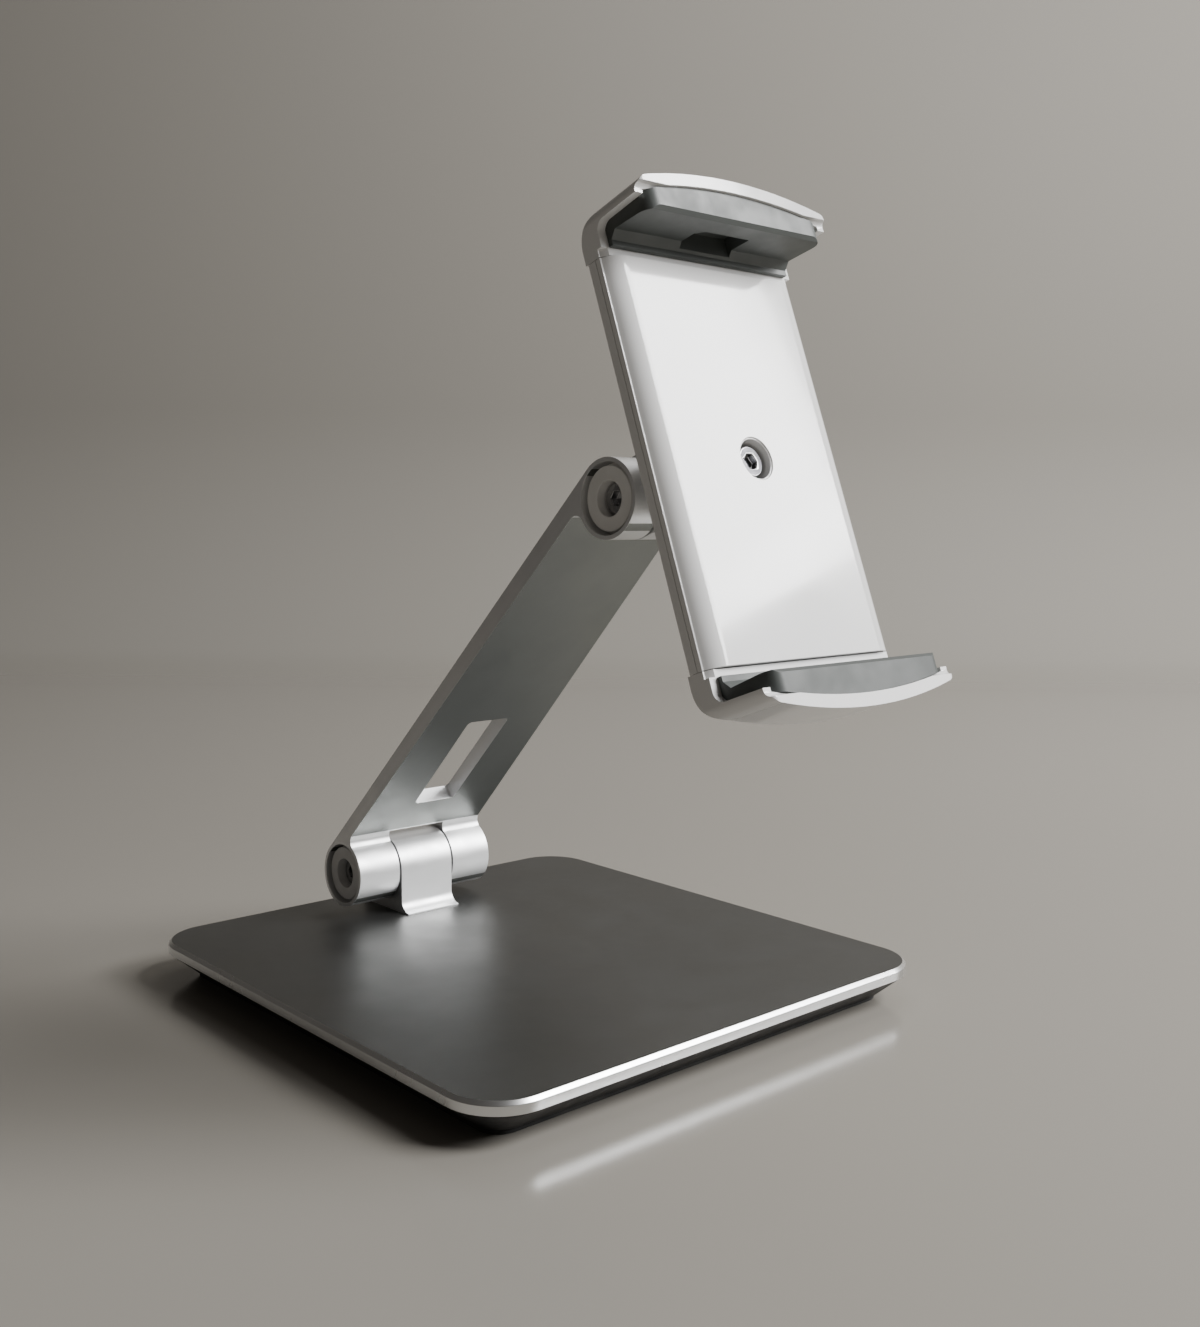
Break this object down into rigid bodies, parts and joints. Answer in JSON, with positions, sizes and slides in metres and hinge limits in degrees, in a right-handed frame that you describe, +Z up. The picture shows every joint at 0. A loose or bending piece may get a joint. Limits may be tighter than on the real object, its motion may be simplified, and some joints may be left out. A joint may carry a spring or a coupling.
{
  "type": "tablet stand",
  "caption": "Desk tablet stand: weighted base, flat hinged arm with a cable slot, and a tilting, swivelling holder whose sprung jaws grip the tablet.",
  "frame": {"origin": "centre of the underside of the rubber desk pad, on the desk", "axes": "+X to the stand's right as its user sees it, -Y towards the user, +Z up"},
  "size_m": [0.172, 0.2223, 0.2365],
  "materials": {
    "base_metal": "satin anodised top with a polished edge",
    "arm_metal": "satin anodised",
    "bright_metal": "polished",
    "tray_plastic": "fine grained",
    "ballast_steel": "plain",
    "desk_rubber": "matte",
    "screw_steel": "zinc plated",
    "bolt_chrome": "bright",
    "washer_plastic": "low friction",
    "insert_nylon": "smooth",
    "white_plastic": "glossy",
    "grip_rubber": "smooth matte"
  },
  "bodies": {
    "base": {"base_plate": "base_metal", "base_tray": "tray_plastic", "ballast_plate": "ballast_steel", "desk_pad": "desk_rubber", "base_screws": "screw_steel", "hinge_bracket": "bright_metal", "bracket_screws": "screw_steel"},
    "arm": {"arm": "arm_metal", "lower_left_bushing": "insert_nylon", "lower_right_bushing": "insert_nylon", "upper_left_bushing": "insert_nylon", "upper_right_bushing": "insert_nylon", "lower_pivot_bolt": "bolt_chrome", "upper_pivot_bolt": "bolt_chrome", "lower_pivot_nut": "screw_steel", "upper_pivot_nut": "screw_steel", "lower_washers": "washer_plastic", "upper_washers": "washer_plastic"},
    "tilt_head": {"tilt_knuckle": "bright_metal", "swivel_rear_washer": "washer_plastic", "swivel_front_washer": "washer_plastic", "swivel_screw": "bolt_chrome", "swivel_nut": "screw_steel"},
    "holder": {"back_cover": "white_plastic", "front_cover": "white_plastic", "cover_screws": "screw_steel", "spring_posts": "screw_steel"},
    "upper_jaw": {"upper_jaw": "white_plastic", "upper_jaw_pad": "grip_rubber", "upper_jaw_springs": "screw_steel"},
    "lower_jaw": {"lower_jaw": "white_plastic", "lower_jaw_pad": "grip_rubber", "lower_jaw_springs": "screw_steel"}
  },
  "joints": [
    {"name": "arm_tilt", "type": "hinge", "parent": "base", "child": "arm", "pos_m": [0, 0.0687, 0.0268], "axis": [-1, 0, 0], "range_deg": [-20, 50]},
    {"name": "holder_tilt", "type": "hinge", "parent": "arm", "child": "tilt_head", "pos_m": [0, -0.05749, 0.15432], "axis": [-1, 0, 0], "range_deg": [-35, 80]},
    {"name": "holder_swivel", "type": "hinge", "parent": "tilt_head", "child": "holder", "pos_m": [0, -0.08484, 0.16198], "axis": [0, -0.9367, 0.3502], "continuous": true},
    {"name": "upper_jaw_slide", "type": "slide", "parent": "holder", "child": "upper_jaw", "axis": [0, 0.3502, 0.9367], "range_m": [0, 0.053], "stiffness_N_per_m": 150, "springref_m": -0.027, "deforming": ["upper_jaw_springs"]},
    {"name": "lower_jaw_slide", "type": "slide", "parent": "holder", "child": "lower_jaw", "axis": [0, -0.3502, -0.9367], "range_m": [0, 0.053], "stiffness_N_per_m": 150, "springref_m": -0.027, "deforming": ["lower_jaw_springs"]}
  ]
}
